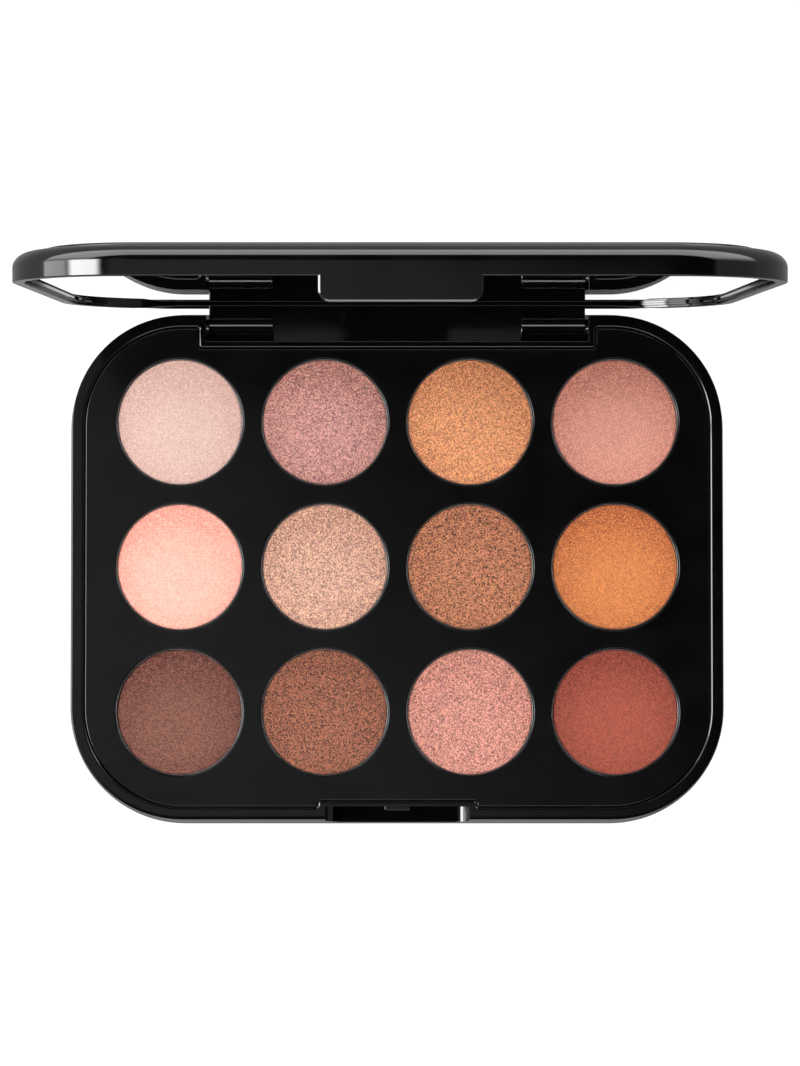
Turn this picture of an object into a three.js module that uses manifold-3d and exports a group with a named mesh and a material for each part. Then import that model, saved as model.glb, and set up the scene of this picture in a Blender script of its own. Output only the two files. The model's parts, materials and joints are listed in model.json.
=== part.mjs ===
// Eyeshadow palette: a moulded base with twelve pans of pressed powder, and a mirrored lid.
// Millimetres, +Z up, +X to the right, +Y towards the hinge. The origin is the centre of the
// underside of the base. The lid is drawn closed, round its hinge axis, and then turned open.
import * as THREE from 'three';
import { mergeVertices } from 'three/addons/utils/BufferGeometryUtils.js';
import Module from 'manifold-3d';

const wasm = await Module();
wasm.setup();

// ---------------------------------------------------------------- driving dimensions
// Pans of pressed powder
const column_count = 4;
const row_count = 3;
const pan_radius = 11.95;
const pan_height = 4.0;
const pan_wall = 0.2;
const pan_corner = 0.4; // bevel round the bottom of a pan
const powder_gap = 0.1; // between a powder cake and its pan
const powder_drop = 0.3; // powder surface below the lip of its pan
const powder_bevel = 0.2;
const pan_pad_radius = 9.0;
const pan_pad_thickness = 0.25;

// Deck tray: a flat deck with one well for each pan
const pan_clearance = 0.15; // between a pan and its well
const pan_drop = 0.25; // lip of a pan below the deck
const well_wall = 0.9;
const well_floor = 0.8;
const well_spacing = 1.4; // between the outsides of two wells
const well_clearance = 0.75; // under a well
const deck_thickness = 1.2;
const deck_drop = 0.35; // deck below the rim of the base
const deck_gap = 0.2; // between the edge of the deck and the base
const seat_gap = 0.1; // between pieces that lie on each other in the base

// Base shell
const side_border = 8.3; // from the outermost pans to the outline of the rim
const end_border = 8.25;
const corner_radius = 20.85;
const floor_thickness = 1.8;
const rim_band = 2.3; // width of the raised rim
const shelf_width = 1.2; // under the edge of the deck
const base_flare = 1.2; // how far the foot of the wall stands out past the rim
const base_foot_round = 1.0;

// Hinge
const hinge_width = 71.6; // the lid's hinge block
const hinge_side_gap = 0.35; // each side of the block
const hinge_front_gap = 0.3;
const hinge_wall = 1.3; // base wall in front of the hinge block
const knuckle_radius = 2.3;
const knuckle_length = 12.3;
const hinge_floor = 1.3; // base floor under the hinge block
const knuckle_gap = 0.8; // over that floor, so that the lid can pass upright
const web_front = 0.5; // how far the web stands in front of the hinge axis
const swing_gap = 0.1; // between the lid's back rim and the base's back edge as they pass
const relief_run_on = 1.0; // how far the relief for that keeps its depth past the straight edge
const relief_tip_angle = THREE.MathUtils.degToRad(60); // where on the corner it runs out
const back_trim = 0.25; // foot of the back wall past the rim, behind the hinge block
const pin_radius = 0.8;
const pin_in_lid = 10.8;
const pin_in_base = 6.0;
const pin_running_gap = 0.08; // in the lid's knuckles
const pin_grip_gap = 0.05; // in the base
const boss_wall = 1.2; // base material round and past the pin

// Latch
const tab_width = 24.8;
const tab_drop = 3.9; // below the parting plane
const tab_thickness = 1.5;
const tab_corner = 1.8;
const tab_root = 1.0; // how far the tab runs up into the lid's front wall
const tab_side_gap = 1.2;
const tab_under_gap = 0.3;
const latch_depth = 2.5; // of the base's notch, from the front of the rim
const latch_corner = 2.3;
const latch_wall = 1.0; // base wall behind the notch
const lip_width = 4.75;
const lip_reach = 0.75;
const lip_height = 1.0;
const bead_width = 4.0;
const bead_height = 0.8;
const bead_gap = 0.1; // between the tip of the bead and the tip of the lip

// Lid
const parting_gap = 0.15; // between the closed lid and the rim of the base
const lid_open_angle = 84; // degrees from closed
const lid_round_width = 3.2; // rounded outer edge
const lid_round_height = 2.6;
const lid_rim_band = 1.9;
const lid_step_depth = 0.45;
const lid_step_width = 0.9;
const lid_skin = 1.2; // between the mirror's recess and the cover panel's pocket
const lid_seat_gap = 0.3; // between pieces that lie on each other in the lid
const mirror_depth = 0.9; // mirror face past the parting plane
const mirror_thickness = 0.9;
const mirror_pad_thickness = 0.3;
const mirror_pad_border = 6.0;
const panel_inset = 5.0;
const panel_thickness = 1.2;
const panel_proud = 0.6;
const panel_groove = 0.35;

// Label under the base
const label_width = 70;
const label_depth = 22;
const label_centre_y = -24;
const label_thickness = 0.15;
const label_recess = 0.35;
const label_corner = 2.0;

// How finely curves are cut into flats
const circle_segments = 24;
const pin_segments = 16;
const corner_segments = 6;
const small_corner_segments = 3;
const overrun = 1.0; // how far a cutting tool runs past the face it opens

// ---------------------------------------------------------------- worked-out dimensions
const well_radius = pan_radius + pan_clearance;
const well_outer_radius = well_radius + well_wall;
const pan_pitch = 2 * well_outer_radius + well_spacing;
const half_width = (column_count - 1) * pan_pitch / 2 + pan_radius + side_border;
const half_depth = (row_count - 1) * pan_pitch / 2 + pan_radius + end_border;

const well_bottom = floor_thickness + well_clearance;
const pad_bottom = well_bottom + well_floor + seat_gap;
const pan_bottom = pad_bottom + pan_pad_thickness + seat_gap;
const pan_top = pan_bottom + pan_height;
const deck_top = pan_top + pan_drop;
const deck_bottom = deck_top - deck_thickness;
const rim_top = deck_top + deck_drop;
const shelf_top = deck_bottom - seat_gap;

const back_edge = half_depth;
const front_edge = -half_depth;
const hinge_y = back_edge - knuckle_radius;
const hinge_z = hinge_floor + knuckle_gap + knuckle_radius;
const swing_radius = Math.hypot(knuckle_radius, rim_top - hinge_z) + swing_gap;
const notch_half_width = hinge_width / 2 + hinge_side_gap;
const notch_front = hinge_y - knuckle_radius - hinge_front_gap;
const deck_back_jog = notch_front - hinge_wall;
const boss_reach = pin_radius + boss_wall;

const latch_half_width = tab_width / 2 + tab_side_gap;
const latch_back = front_edge + latch_depth;
const latch_floor = rim_top + parting_gap - tab_drop - tab_under_gap;
const lip_tip = latch_back - lip_reach;

const parting = rim_top + parting_gap;
const mirror_face = parting + mirror_depth;
const mirror_back = mirror_face + mirror_thickness;
const mirror_pad_bottom = mirror_back + lid_seat_gap;
const recess_top = mirror_pad_bottom + mirror_pad_thickness + lid_seat_gap;
const pocket_floor = recess_top + lid_skin;
const panel_bottom = pocket_floor + lid_seat_gap;
const panel_top = panel_bottom + panel_thickness;
const lid_top = panel_top - panel_proud;
const mirror_inset = lid_rim_band + lid_step_width + lid_seat_gap;
const pad_inset = mirror_inset + mirror_pad_border;

// ---------------------------------------------------------------- shaping helpers
/** An outline with four rounded corners, centred on the origin. */
function roundedRectangle(halfX, halfY, radius) {
  const shape = new THREE.Shape();
  shape.absarc(halfX - radius, halfY - radius, radius, 0, Math.PI / 2);
  shape.absarc(radius - halfX, halfY - radius, radius, Math.PI / 2, Math.PI);
  shape.absarc(radius - halfX, radius - halfY, radius, Math.PI, 1.5 * Math.PI);
  shape.absarc(halfX - radius, radius - halfY, radius, 1.5 * Math.PI, 2 * Math.PI);
  shape.closePath();
  return shape;
}

/** The palette's own outline, made smaller by inset on every side. */
function paletteOutline(inset) {
  return roundedRectangle(half_width - inset, half_depth - inset, corner_radius - inset);
}

/** A flat plate of a given outline between two heights. */
function plate(shape, low, high, segments = corner_segments) {
  const options = { depth: high - low, bevelEnabled: false, curveSegments: segments };
  return new THREE.ExtrudeGeometry(shape, options).translate(0, 0, low);
}

/** A rectangular block between two corners. */
function block(x0, x1, y0, y1, z0, z1) {
  const box = new THREE.BoxGeometry(x1 - x0, y1 - y0, z1 - z0);
  return box.translate((x0 + x1) / 2, (y0 + y1) / 2, (z0 + z1) / 2);
}

/** A bar along X whose section is drawn in the plane of Y and Z. */
function barAlongX(section, x0, x1, segments) {
  const options = { depth: x1 - x0, bevelEnabled: false, curveSegments: segments };
  const y_axis = new THREE.Vector3(0, 1, 0);
  const z_axis = new THREE.Vector3(0, 0, 1);
  const x_axis = new THREE.Vector3(1, 0, 0);
  const turn = new THREE.Matrix4().makeBasis(y_axis, z_axis, x_axis);
  return new THREE.ExtrudeGeometry(section, options).translate(0, 0, x0).applyMatrix4(turn);
}

/** A bar along Y whose section is drawn in the plane of X and Z. */
function barAlongY(section, y0, y1) {
  const options = { depth: y1 - y0, bevelEnabled: false, curveSegments: small_corner_segments };
  const bar = new THREE.ExtrudeGeometry(section, options);
  return bar.rotateX(Math.PI / 2).translate(0, y1, 0);
}

/** A round rod along X through the point y, z. */
function rodAlongX(radius, x0, x1, y, z, segments = pin_segments) {
  const rod = new THREE.CylinderGeometry(radius, radius, x1 - x0, segments);
  return rod.rotateZ(Math.PI / 2).translate((x0 + x1) / 2, y, z);
}

/** A turned piece: the profile lists radius and height, from the axis out and back to it. */
function turned(profile, x, y) {
  const points = profile.map(([radius, height]) => new THREE.Vector2(radius, height));
  const lathe = new THREE.LatheGeometry(points, circle_segments);
  return lathe.rotateX(Math.PI / 2).translate(x, y, 0);
}

/**
 * A solid whose outline grows or shrinks with height: each level gives a height and how far
 * the palette's outline is grown there. Level rings are joined by bands and closed by fans.
 */
function stackedOutline(levels) {
  const positions = [];
  const faces = [];
  let ring_size = 0;
  for (const { height, grow } of levels) {
    const ring = paletteOutline(-grow).getPoints(corner_segments);
    const open_ring = ring.slice(0, -1);
    ring_size = open_ring.length;
    for (const point of open_ring) positions.push(point.x, point.y, height);
  }
  for (let level = 0; level + 1 < levels.length; level += 1) {
    for (let i = 0; i < ring_size; i += 1) {
      const a = level * ring_size + i;
      const b = level * ring_size + (i + 1) % ring_size;
      faces.push(a, b, b + ring_size, a, b + ring_size, a + ring_size);
    }
  }
  const first_centre = positions.length / 3;
  positions.push(0, 0, levels[0].height, 0, 0, levels[levels.length - 1].height);
  const top_ring = (levels.length - 1) * ring_size;
  for (let i = 0; i < ring_size; i += 1) {
    const next = (i + 1) % ring_size;
    faces.push(first_centre, next, i, first_centre + 1, top_ring + i, top_ring + next);
  }
  const geometry = new THREE.BufferGeometry();
  geometry.setAttribute('position', new THREE.Float32BufferAttribute(positions, 3));
  geometry.setIndex(faces);
  return geometry;
}

/** A three.js geometry as a solid that can be cut and joined. */
function solid(geometry) {
  const bare = geometry.clone();
  bare.deleteAttribute('normal');
  bare.deleteAttribute('uv');
  const merged = mergeVertices(bare);
  return new wasm.Manifold(new wasm.Mesh({
    numProp: 3,
    vertProperties: Float32Array.from(merged.attributes.position.array),
    triVerts: Uint32Array.from(merged.index.array),
  }));
}

/** A cut and joined solid as a three.js geometry again. */
function geometryOf(manifold) {
  const mesh = manifold.getMesh();
  const geometry = new THREE.BufferGeometry();
  geometry.setAttribute('position', new THREE.Float32BufferAttribute(mesh.vertProperties, 3));
  geometry.setIndex(new THREE.Uint32BufferAttribute(mesh.triVerts, 1));
  geometry.computeVertexNormals();
  return geometry;
}

// ---------------------------------------------------------------- finishes
const black_plastic = { color: 0x0b0b0c, roughness: 0.22, metalness: 0.0 };
const satin_plastic = { color: 0x141415, roughness: 0.4, metalness: 0.0 };
const pan_metal = { color: 0xc9c9cb, roughness: 0.3, metalness: 1.0 };
const pin_steel = { color: 0xb5b5b8, roughness: 0.25, metalness: 1.0 };
const mirror_glass = { color: 0xf2f4f5, roughness: 0.02, metalness: 1.0 };
const white_foam = { color: 0xe4e2dc, roughness: 0.9, metalness: 0.0 };
const label_paper = { color: 0x1c1c1e, roughness: 0.55, metalness: 0.0 };
const powder_colours = [
  [0xe9c4ba, 0xc18d87, 0xd49570, 0xd4917c],
  [0xf9c8b2, 0xd6a99b, 0xb3775d, 0xd38250],
  [0x87574e, 0x9d6051, 0xdb998a, 0xa85543],
];
const powder_roughness = 0.85;

/** A named piece with a finish of its own. */
function piece(name, geometry, finish) {
  const mesh = new THREE.Mesh(geometry, new THREE.MeshStandardMaterial(finish));
  mesh.name = name;
  return mesh;
}

// ---------------------------------------------------------------- base shell
/** The outside of the base: a rounded foot, then a wall that leans in to the rim. */
function baseOutside() {
  const levels = [];
  for (let step = 0; step <= small_corner_segments; step += 1) {
    const angle = step / small_corner_segments * Math.PI / 2;
    const height = base_foot_round * (1 - Math.cos(angle));
    const grow = base_flare - base_foot_round * (1 - Math.sin(angle));
    levels.push({ height, grow });
  }
  levels.push({ height: rim_top, grow: 0 });
  return solid(stackedOutline(levels));
}

/** The part of an inset outline that is clear of the hinge notch's and latch notch's walls. */
function insideOfNotches(inset, low, high, gap) {
  const wide = notch_half_width + hinge_wall + gap;
  const latch_wide = latch_half_width + hinge_wall + gap;
  const latch_jog = latch_back + latch_wall + gap;
  const outer = solid(plate(paletteOutline(inset), low, high));
  const hinge_jog = block(-wide, wide, deck_back_jog - gap, back_edge, low - overrun, high + overrun);
  const front_jog = block(-latch_wide, latch_wide, front_edge, latch_jog, low - overrun, high + overrun);
  return outer.subtract(solid(hinge_jog)).subtract(solid(front_jog));
}

/** The blocks beside the hinge notch that hold the pins. */
function pinBosses() {
  const inner = notch_half_width;
  const outer = notch_half_width + pin_in_base + boss_wall;
  const low = hinge_y - boss_reach;
  const top = shelf_top;
  const right = solid(block(inner, outer, low, back_edge, floor_thickness - overrun, top));
  const left = solid(block(-outer, -inner, low, back_edge, floor_thickness - overrun, top));
  return right.add(left);
}

/** The notch in the back wall that the lid's hinge block turns in. */
function hingeNotch() {
  const wide = notch_half_width;
  const beyond = back_edge + base_flare + overrun;
  const well = solid(block(-wide, wide, notch_front, beyond, hinge_floor, rim_top + overrun));
  const foot = solid(block(-wide, wide, back_edge + back_trim, beyond, -overrun, rim_top + overrun));
  return well.add(foot);
}

/** A tongue outline in X and Z: straight down from the top, round at its two lower corners. */
function tongue(halfWidth, bottom, top, radius) {
  const shape = new THREE.Shape();
  shape.moveTo(-halfWidth, top);
  shape.lineTo(-halfWidth, bottom + radius);
  shape.absarc(radius - halfWidth, bottom + radius, radius, Math.PI, 1.5 * Math.PI);
  shape.absarc(halfWidth - radius, bottom + radius, radius, 1.5 * Math.PI, 2 * Math.PI);
  shape.lineTo(halfWidth, top);
  shape.closePath();
  return shape;
}

/** The notch in the front wall that the lid's tab closes into. */
function latchNotch() {
  const outline = tongue(latch_half_width, latch_floor, rim_top + overrun, latch_corner);
  return solid(barAlongY(outline, front_edge - base_flare - overrun, latch_back));
}

/** The small lip at the top of the latch notch's back wall that the tab's bead catches on. */
function catchLip() {
  const rooted = latch_back + latch_wall / 2;
  return solid(block(-lip_width / 2, lip_width / 2, lip_tip, rooted, rim_top - lip_height, rim_top));
}

function pinBores() {
  const start = notch_half_width - overrun;
  const end = notch_half_width + pin_in_base + pin_grip_gap;
  const radius = pin_radius + pin_grip_gap;
  const right = solid(rodAlongX(radius, start, end, hinge_y, hinge_z));
  const left = solid(rodAlongX(radius, -end, -start, hinge_y, hinge_z));
  return right.add(left);
}

function labelOutline(gap) {
  const outline = roundedRectangle(label_width / 2 + gap, label_depth / 2 + gap, label_corner + gap);
  return outline;
}

function baseShell() {
  const deck_pocket = insideOfNotches(rim_band, shelf_top, rim_top + overrun, 0);
  const under_pocket = insideOfNotches(rim_band + shelf_width, floor_thickness, rim_top, 0);
  const label_pocket = solid(plate(labelOutline(seat_gap), -overrun, label_recess));
  const shell = baseOutside()
    .subtract(deck_pocket)
    .subtract(under_pocket.subtract(pinBosses()))
    .subtract(hingeNotch())
    .subtract(latchNotch())
    .add(catchLip())
    .subtract(pinBores())
    .subtract(label_pocket.translate([0, label_centre_y, 0]));
  return piece('base_shell', geometryOf(shell), black_plastic);
}

// ---------------------------------------------------------------- deck tray and its pans
/** The centres of the pans, row 1 nearest the hinge and column 1 at the left. */
function panPlaces() {
  const places = [];
  for (let row = 0; row < row_count; row += 1) {
    for (let column = 0; column < column_count; column += 1) {
      const x = (column - (column_count - 1) / 2) * pan_pitch;
      const y = ((row_count - 1) / 2 - row) * pan_pitch;
      places.push({ x, y, tag: `r${row + 1}c${column + 1}`, color: powder_colours[row][column] });
    }
  }
  return places;
}

/** One well: a round cup under a hole in the deck. */
function wellCup(x, y) {
  return turned([
    [0, well_bottom],
    [well_outer_radius, well_bottom],
    [well_outer_radius, deck_top],
    [well_radius, deck_top],
    [well_radius, well_bottom + well_floor],
    [0, well_bottom + well_floor],
  ], x, y);
}

function deckTray(places) {
  let tray = insideOfNotches(rim_band + deck_gap, deck_bottom, deck_top, deck_gap);
  for (const { x, y } of places) {
    const hole = turned([
      [0, deck_bottom - overrun],
      [(well_radius + well_outer_radius) / 2, deck_bottom - overrun],
      [(well_radius + well_outer_radius) / 2, deck_top + overrun],
      [0, deck_top + overrun],
    ], x, y);
    tray = tray.subtract(solid(hole)).add(solid(wellCup(x, y)));
  }
  return piece('deck_tray', geometryOf(tray), satin_plastic);
}

function pan({ x, y, tag }) {
  const inner = pan_radius - pan_wall;
  const profile = [
    [0, pan_bottom],
    [pan_radius - pan_corner, pan_bottom],
    [pan_radius, pan_bottom + pan_corner],
    [pan_radius, pan_top],
    [inner, pan_top],
    [inner, pan_bottom + pan_corner],
    [0, pan_bottom + pan_corner],
  ];
  return piece(`pan_${tag}`, turned(profile, x, y), pan_metal);
}

function powder({ x, y, tag, color }) {
  const radius = pan_radius - pan_wall - powder_gap;
  const top = pan_top - powder_drop;
  const bottom = pan_bottom + pan_corner + powder_gap;
  const profile = [
    [0, bottom],
    [radius, bottom],
    [radius, top - powder_bevel],
    [radius - powder_bevel, top],
    [0, top],
  ];
  const finish = { color, roughness: powder_roughness, metalness: 0.0 };
  return piece(`powder_${tag}`, turned(profile, x, y), finish);
}

function panPad({ x, y, tag }) {
  const top = pad_bottom + pan_pad_thickness;
  const profile = [[0, pad_bottom], [pan_pad_radius, pad_bottom], [pan_pad_radius, top], [0, top]];
  return piece(`pan_pad_${tag}`, turned(profile, x, y), white_foam);
}

// ---------------------------------------------------------------- hinge pins and label
function hingePin(name, side) {
  const inner = hinge_width / 2 - pin_in_lid;
  const outer = notch_half_width + pin_in_base;
  const rod = rodAlongX(pin_radius, inner, outer, hinge_y, hinge_z);
  if (side < 0) rod.translate(-inner - outer, 0, 0);
  return piece(name, rod, pin_steel);
}

function baseLabel() {
  const top = label_recess - seat_gap;
  const sticker = plate(labelOutline(0), top - label_thickness, top);
  return piece('base_label', sticker.translate(0, label_centre_y, 0), label_paper);
}

// ---------------------------------------------------------------- lid, drawn closed
/** The outside of the lid: a straight wall, then an elliptical round to the flat top. */
function lidOutside() {
  const levels = [{ height: parting, grow: 0 }];
  for (let step = 0; step <= small_corner_segments; step += 1) {
    const angle = step / small_corner_segments * Math.PI / 2;
    const height = lid_top - lid_round_height * (1 - Math.sin(angle));
    const grow = -lid_round_width * (1 - Math.cos(angle));
    levels.push({ height, grow });
  }
  return solid(stackedOutline(levels));
}

/** The web of the hinge block: flat in front, and round the axis underneath and behind. */
function hingeWeb() {
  const top = parting + lid_step_depth - hinge_z;
  const low = Math.sqrt(knuckle_radius ** 2 - web_front ** 2);
  const start = Math.atan2(-low, -web_front);
  const section = new THREE.Shape();
  section.moveTo(-web_front, top);
  section.lineTo(-web_front, -low);
  section.absarc(0, 0, knuckle_radius, start, 0);
  section.lineTo(knuckle_radius, top);
  section.closePath();
  const web = barAlongX(section, -hinge_width / 2, hinge_width / 2, corner_segments);
  return solid(web.translate(0, hinge_y, hinge_z));
}

/** The round knuckles at the two ends of the hinge block, bored for the pins. */
function hingeKnuckles(block_solid) {
  const outer = hinge_width / 2;
  const inner = outer - knuckle_length;
  const bore_start = outer - pin_in_lid - pin_running_gap;
  const bore = pin_radius + pin_running_gap;
  let joined = block_solid;
  for (const side of [-1, 1]) {
    const from = Math.min(side * inner, side * outer);
    const to = Math.max(side * inner, side * outer);
    const knuckle = rodAlongX(knuckle_radius, from, to, hinge_y, hinge_z, circle_segments);
    joined = joined.add(solid(knuckle));
  }
  for (const side of [-1, 1]) {
    const from = Math.min(side * bore_start, side * (outer + overrun));
    const to = Math.max(side * bore_start, side * (outer + overrun));
    joined = joined.subtract(solid(rodAlongX(bore, from, to, hinge_y, hinge_z)));
  }
  return joined;
}

/** The opening tab at the front, with a small bead on its inner face. */
function openingTab() {
  const outline = tongue(tab_width / 2, parting - tab_drop, parting + tab_root, tab_corner);
  const inner_face = front_edge + tab_thickness;
  const bead_tip = lip_tip - bead_gap;
  const bead_top = rim_top - lip_height;
  const bead = block(
    -bead_width / 2, bead_width / 2, inner_face - tab_thickness / 2, bead_tip, bead_top - bead_height, bead_top,
  );
  return solid(barAlongY(outline, front_edge, inner_face)).add(solid(bead));
}

/**
 * Round hollows in the back of the lid's rim, so that it clears the base's edge as it turns.
 * They start at the hinge block, and run out into the rim where the outline curves away.
 */
function swingRelief() {
  const flat_to_flat = 1 / Math.cos(Math.PI / circle_segments);
  const inner = hinge_width / 2;
  const straight_end = half_width - corner_radius + relief_run_on;
  const tip = half_width - corner_radius * (1 - Math.cos(relief_tip_angle));
  const tip_radius = parting - hinge_z;
  const profile = [
    new THREE.Vector2(0, inner),
    new THREE.Vector2(swing_radius * flat_to_flat, inner),
    new THREE.Vector2(swing_radius * flat_to_flat, straight_end),
    new THREE.Vector2(tip_radius * flat_to_flat, tip),
    new THREE.Vector2(0, tip),
  ];
  const [right, left] = [-1, 1].map((turn) => {
    const hollow = new THREE.LatheGeometry(profile, circle_segments);
    return solid(hollow.rotateZ(turn * Math.PI / 2).translate(0, hinge_y, hinge_z));
  });
  return right.add(left);
}

function lidShell() {
  const rim_opening = plate(paletteOutline(lid_rim_band), parting - overrun, parting + lid_step_depth);
  const inner_inset = lid_rim_band + lid_step_width;
  const recess = plate(paletteOutline(inner_inset), parting - overrun, recess_top);
  const pocket = plate(paletteOutline(panel_inset - panel_groove), pocket_floor, lid_top + overrun);
  const shell = lidOutside()
    .subtract(solid(rim_opening))
    .subtract(solid(recess))
    .subtract(solid(pocket))
    .subtract(swingRelief())
    .add(openingTab())
    .add(hingeWeb());
  return piece('lid_shell', geometryOf(hingeKnuckles(shell)), black_plastic);
}

function lidPanel() {
  const panel = plate(paletteOutline(panel_inset), panel_bottom, panel_top);
  return piece('lid_panel', panel, black_plastic);
}

function mirror() {
  const glass = plate(paletteOutline(mirror_inset), mirror_face, mirror_back);
  return piece('mirror', glass, mirror_glass);
}

function mirrorPad() {
  const sheet = plate(
    paletteOutline(pad_inset), mirror_pad_bottom, mirror_pad_bottom + mirror_pad_thickness,
  );
  return piece('mirror_pad', sheet, white_foam);
}

/** The lid's pieces, moved so that the hinge axis is their origin, then turned open. */
function openLid() {
  const lid = new THREE.Group();
  for (const part of [lidShell(), lidPanel(), mirror(), mirrorPad()]) {
    part.position.set(0, -hinge_y, -hinge_z);
    lid.add(part);
  }
  lid.position.set(0, hinge_y, hinge_z);
  lid.rotation.x = -THREE.MathUtils.degToRad(lid_open_angle);
  return lid;
}

// ---------------------------------------------------------------- the whole palette
const palette = new THREE.Group();
const places = panPlaces();
palette.add(baseShell(), deckTray(places), baseLabel());
for (const place of places) palette.add(pan(place), powder(place), panPad(place));
palette.add(hingePin('hinge_pin_left', -1), hingePin('hinge_pin_right', 1));
palette.add(openLid());

export default palette;
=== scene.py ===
# %% [markdown]
# # An eyeshadow palette
# The palette is a slim black compact: a moulded base with twelve round pans of pressed powder,
# and a lid with a mirror that turns on two steel pins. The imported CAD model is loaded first,
# because every new piece has to sit exactly where the working parts are. From then on each
# size is either measured on that model or is a small named value of this script, in
# millimetres, which is the unit that such a compact is drawn in.

# %% Load the working model
import json
import bpy
import numpy as np
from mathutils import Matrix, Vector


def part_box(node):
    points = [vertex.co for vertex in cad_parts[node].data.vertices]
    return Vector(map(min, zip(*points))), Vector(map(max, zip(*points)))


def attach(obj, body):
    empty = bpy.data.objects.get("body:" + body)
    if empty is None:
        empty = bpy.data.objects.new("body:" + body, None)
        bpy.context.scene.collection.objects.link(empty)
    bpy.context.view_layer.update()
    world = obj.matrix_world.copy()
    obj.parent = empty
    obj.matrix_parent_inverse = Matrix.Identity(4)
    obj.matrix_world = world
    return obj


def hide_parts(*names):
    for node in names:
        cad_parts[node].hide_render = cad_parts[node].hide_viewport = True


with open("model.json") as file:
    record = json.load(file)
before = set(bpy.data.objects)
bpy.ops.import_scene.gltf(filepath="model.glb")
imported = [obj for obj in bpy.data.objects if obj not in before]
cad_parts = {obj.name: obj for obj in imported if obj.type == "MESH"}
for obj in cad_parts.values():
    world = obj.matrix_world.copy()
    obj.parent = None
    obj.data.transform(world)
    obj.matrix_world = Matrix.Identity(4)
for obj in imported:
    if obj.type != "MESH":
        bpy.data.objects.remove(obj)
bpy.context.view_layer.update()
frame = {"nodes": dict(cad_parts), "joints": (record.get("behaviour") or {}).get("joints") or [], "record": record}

# %% [markdown]
# ## Measures
# Blender works in metres and the compact is drawn in millimetres, so one factor turns one into
# the other when a mesh is made. Levels such as the rim and the deck are read from the boxes of
# the CAD nodes. The lid is stored open, so its own levels are found by turning its nodes back
# to the closed position, where they lie flat.

# %% Sizes measured on the working model
MM = 0.001
hinge = frame["joints"][0]
hinge_point = np.array(hinge["pos_m"]) / MM
open_angle = np.radians(-hinge["range_deg"][0])
print("hinge at", hinge_point, "open by", round(np.degrees(open_angle), 1), "degrees")


def box_of(node):
    """Lowest and highest corner of a CAD node, in millimetres."""
    low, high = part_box(node)
    return np.array(low) / MM, np.array(high) / MM


def turned_about_hinge(points, angle):
    """Points turned round the hinge axis: each keeps its distance from the axis, and its Y and Z
    are rotated by angle, positive lifting the front of the lid."""
    y, z = points[..., 1] - hinge_point[1], points[..., 2] - hinge_point[2]
    cos, sin = np.cos(angle), np.sin(angle)
    turned = np.array(points, float)
    turned[..., 1] = hinge_point[1] + y * cos + z * sin
    turned[..., 2] = hinge_point[2] - y * sin + z * cos
    return turned


def closed_box_of(node):
    """Lowest and highest corner of one of the lid's nodes with the lid shut."""
    mesh = frame["nodes"][node].data
    points = np.empty(len(mesh.vertices) * 3)
    mesh.vertices.foreach_get("co", points)
    shut = turned_about_hinge(points.reshape(-1, 3) / MM, -open_angle)
    return shut.min(axis=0), shut.max(axis=0)


base_low, base_high = box_of("base_shell")
deck_low, deck_high = box_of("deck_tray")
label_low, label_high = box_of("base_label")
lid_low, lid_high = closed_box_of("lid_shell")
panel_low, panel_high = closed_box_of("lid_panel")
mirror_low, mirror_high = closed_box_of("mirror")
mirror_pad_low, mirror_pad_high = closed_box_of("mirror_pad")

rim_top = base_high[2]
deck_top = deck_high[2]
half_width, half_depth = lid_high[0], -lid_low[1]
print("rim", rim_top, "deck", deck_top, "half width", half_width, "half depth", half_depth)

# %% [markdown]
# ## The camera
# The palette is seen from straight above its middle, from not quite half a metre. A long lens
# keeps the rows of pans square. The lens is shifted a little, as on a view camera, so that the
# base stays a true rectangle while the lid is seen standing up behind it.

# %% Camera
camera_height = 427.8          # above the rim
camera_x, camera_y = -2.6, -19.1
camera_tilt = 1.31             # degrees, towards the hinge
lens_mm = 76.7
shift_right, shift_up = 0.0155, 0.0780

camera_data = bpy.data.cameras.new("camera")
camera_data.lens = lens_mm
camera_data.shift_x = shift_right
camera_data.shift_y = shift_up
camera_data.clip_start = 0.01
camera = bpy.data.objects.new("camera", camera_data)
camera.location = np.array([camera_x, camera_y, rim_top + camera_height]) * MM
camera.rotation_euler = (np.radians(camera_tilt), 0, 0)
bpy.context.scene.collection.objects.link(camera)
bpy.context.scene.camera = camera
print("camera", tuple(round(v, 4) for v in camera.location))

# %% [markdown]
# ## Surfaces worked out as grids
# Nearly every piece of a moulded compact is an outline with rounded corners, carried up or
# along a path while it grows or shrinks a little. So one function gives the outline, one
# carries it through a list of levels, and one turns the grid of points into a mesh. Rounded
# edges are then just more levels, and they stay exact however small they are.

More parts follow.
